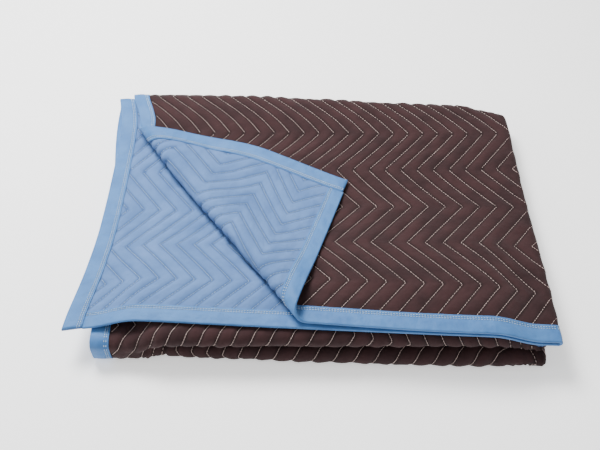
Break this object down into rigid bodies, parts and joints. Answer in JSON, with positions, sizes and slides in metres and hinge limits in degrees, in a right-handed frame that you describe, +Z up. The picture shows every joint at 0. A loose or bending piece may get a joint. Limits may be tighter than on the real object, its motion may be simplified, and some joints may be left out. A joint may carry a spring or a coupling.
{
  "type": "folded quilted moving blanket",
  "caption": "Folded furniture moving blanket: brown quilted cloth with a chevron stitch, blue lining and blue bound edges, its front left corner turned back",
  "frame": {"origin": "centre of the bounding box in plan, on the surface the folded blanket rests on", "axes": "+X right along the front edge, +Y from the front edge to the back fold, +Z up"},
  "size_m": [0.9722, 0.737, 0.1396],
  "materials": {
    "brown_cover": "brown non-woven quilted cover with pale chevron stitching",
    "blue_lining": "light blue non-woven lining with matching stitching",
    "blue_binding": "light blue woven binding with a soft sheen",
    "pale_thread": "off-white sewing thread",
    "blue_thread": "light blue sewing thread"
  },
  "bodies": {
    "root": {"quilted_panel": "brown_cover", "binding_front": "blue_binding", "binding_far": "blue_binding", "binding_side_top": "blue_binding", "binding_side_lower": "blue_binding"}
  },
  "joints": []
}
